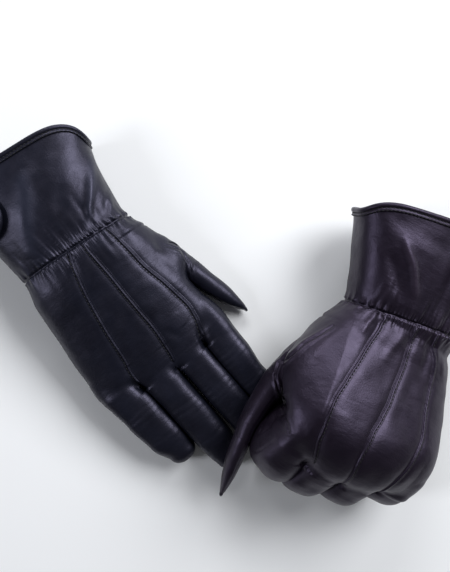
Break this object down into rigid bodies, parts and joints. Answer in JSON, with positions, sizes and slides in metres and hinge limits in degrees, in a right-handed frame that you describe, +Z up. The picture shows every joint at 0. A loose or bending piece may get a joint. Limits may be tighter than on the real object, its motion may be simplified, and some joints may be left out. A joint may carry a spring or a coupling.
{
  "type": "pair of dress gloves",
  "caption": "Pair of leather gloves with gathered wrists, wide cuffs, three raised back tucks and snap tabs; one lies flat, one is curled into a fist.",
  "frame": {"origin": "bottom centre of the bounding box of both gloves, on the table", "axes": "+Z up off the table, +Y towards the cuffs, +X towards the fist glove"},
  "size_m": [0.3626, 0.2583, 0.0874],
  "materials": {
    "leather_black": "smooth semi-gloss",
    "leather_purple": "smooth semi-gloss",
    "elastic": "woven",
    "lining": "knitted",
    "snap_metal": "satin",
    "snap_black": "satin"
  },
  "bodies": {
    "right_hand": {"right_back_panel": "leather_black", "right_palm_panel": "leather_black", "right_points": "leather_black", "right_cuff_back": "leather_black", "right_cuff_palm": "leather_black", "right_cuff_binding": "leather_black", "right_wrist_elastic": "elastic", "right_lining": "lining", "right_tab_base": "leather_black", "right_snap_stud": "snap_metal", "right_snap_post": "snap_metal", "right_thumb_gusset": "leather_black"},
    "right_index": {"right_index_back": "leather_black", "right_index_front": "leather_black", "right_index_forks": "leather_black"},
    "right_middle": {"right_middle_back": "leather_black", "right_middle_front": "leather_black", "right_middle_forks": "leather_black"},
    "right_ring": {"right_ring_back": "leather_black", "right_ring_front": "leather_black", "right_ring_forks": "leather_black"},
    "right_little": {"right_little_back": "leather_black", "right_little_front": "leather_black", "right_little_forks": "leather_black"},
    "right_thumb": {"right_thumb_back": "leather_black", "right_thumb_front": "leather_black"},
    "right_tab": {"right_tab": "leather_black", "right_snap_socket": "snap_metal", "right_snap_cap": "snap_black"},
    "left_hand": {"left_back_panel": "leather_purple", "left_palm_panel": "leather_purple", "left_points": "leather_purple", "left_cuff_back": "leather_purple", "left_cuff_palm": "leather_purple", "left_cuff_binding": "leather_purple", "left_wrist_elastic": "elastic", "left_lining": "lining", "left_tab_base": "leather_purple", "left_snap_stud": "snap_metal", "left_snap_post": "snap_metal", "left_thumb_gusset": "leather_purple"},
    "left_index": {"left_index_back": "leather_purple", "left_index_front": "leather_purple", "left_index_forks": "leather_purple"},
    "left_middle": {"left_middle_back": "leather_purple", "left_middle_front": "leather_purple", "left_middle_forks": "leather_purple"},
    "left_ring": {"left_ring_back": "leather_purple", "left_ring_front": "leather_purple", "left_ring_forks": "leather_purple"},
    "left_little": {"left_little_back": "leather_purple", "left_little_front": "leather_purple", "left_little_forks": "leather_purple"},
    "left_thumb": {"left_thumb_back": "leather_purple", "left_thumb_front": "leather_purple"},
    "left_tab": {"left_tab": "leather_purple", "left_snap_socket": "snap_metal", "left_snap_cap": "snap_black"}
  },
  "joints": [
    {"name": "right_index_curl", "type": "hinge", "parent": "right_hand", "child": "right_index", "pos_m": [-0.00826, -0.0068, 0.00447], "axis": [0.7559, 0.6547, 0], "range_deg": [0, 75]},
    {"name": "right_middle_curl", "type": "hinge", "parent": "right_hand", "child": "right_middle", "pos_m": [-0.02286, -0.02729, 0.00338], "axis": [0.7559, 0.6547, 0], "range_deg": [0, 75]},
    {"name": "right_ring_curl", "type": "hinge", "parent": "right_hand", "child": "right_ring", "pos_m": [-0.04386, -0.04283, 0.00317], "axis": [0.7559, 0.6547, 0], "range_deg": [0, 75]},
    {"name": "right_little_curl", "type": "hinge", "parent": "right_hand", "child": "right_little", "pos_m": [-0.07198, -0.05404, 0.00432], "axis": [0.7559, 0.6547, 0], "range_deg": [0, 75]},
    {"name": "right_thumb_swing", "type": "hinge", "parent": "right_hand", "child": "right_thumb", "pos_m": [-0.03032, 0.04784, 0.01428], "axis": [0, 0, 1], "range_deg": [0, 30]},
    {"name": "right_tab_open", "type": "hinge", "parent": "right_hand", "child": "right_tab", "pos_m": [-0.16709, 0.05558, 0.03921], "axis": [0.7127, -0.7006, 0.034], "range_deg": [0, 100]},
    {"name": "left_glove_lift", "type": "slide", "parent": "right_hand", "child": "left_hand", "axis": [0, 0, 1], "range_m": [0, 0.12]},
    {"name": "left_index_open", "type": "hinge", "parent": "left_hand", "child": "left_index", "pos_m": [0.0441, -0.08821, 0.0753], "axis": [-0.8258, 0.4745, 0.3047], "range_deg": [0, 15]},
    {"name": "left_middle_open", "type": "hinge", "parent": "left_hand", "child": "left_middle", "pos_m": [0.06393, -0.10475, 0.06913], "axis": [-0.8258, 0.4745, 0.3047], "range_deg": [0, 60]},
    {"name": "left_ring_open", "type": "hinge", "parent": "left_hand", "child": "left_ring", "pos_m": [0.08671, -0.11532, 0.05873], "axis": [-0.8258, 0.4745, 0.3047], "range_deg": [0, 60]},
    {"name": "left_little_open", "type": "hinge", "parent": "left_hand", "child": "left_little", "pos_m": [0.11284, -0.12185, 0.04618], "axis": [-0.8258, 0.4745, 0.3047], "range_deg": [0, 60]},
    {"name": "left_thumb_swing", "type": "hinge", "parent": "left_hand", "child": "left_thumb", "pos_m": [0.04016, -0.02609, 0.03994], "axis": [0, 0, -1], "range_deg": [0, 20]},
    {"name": "left_tab_open", "type": "hinge", "parent": "left_hand", "child": "left_tab", "pos_m": [0.17336, 0.0162, 0.03098], "axis": [0.3579, 0.9336, -0.018], "range_deg": [0, 100]}
  ]
}
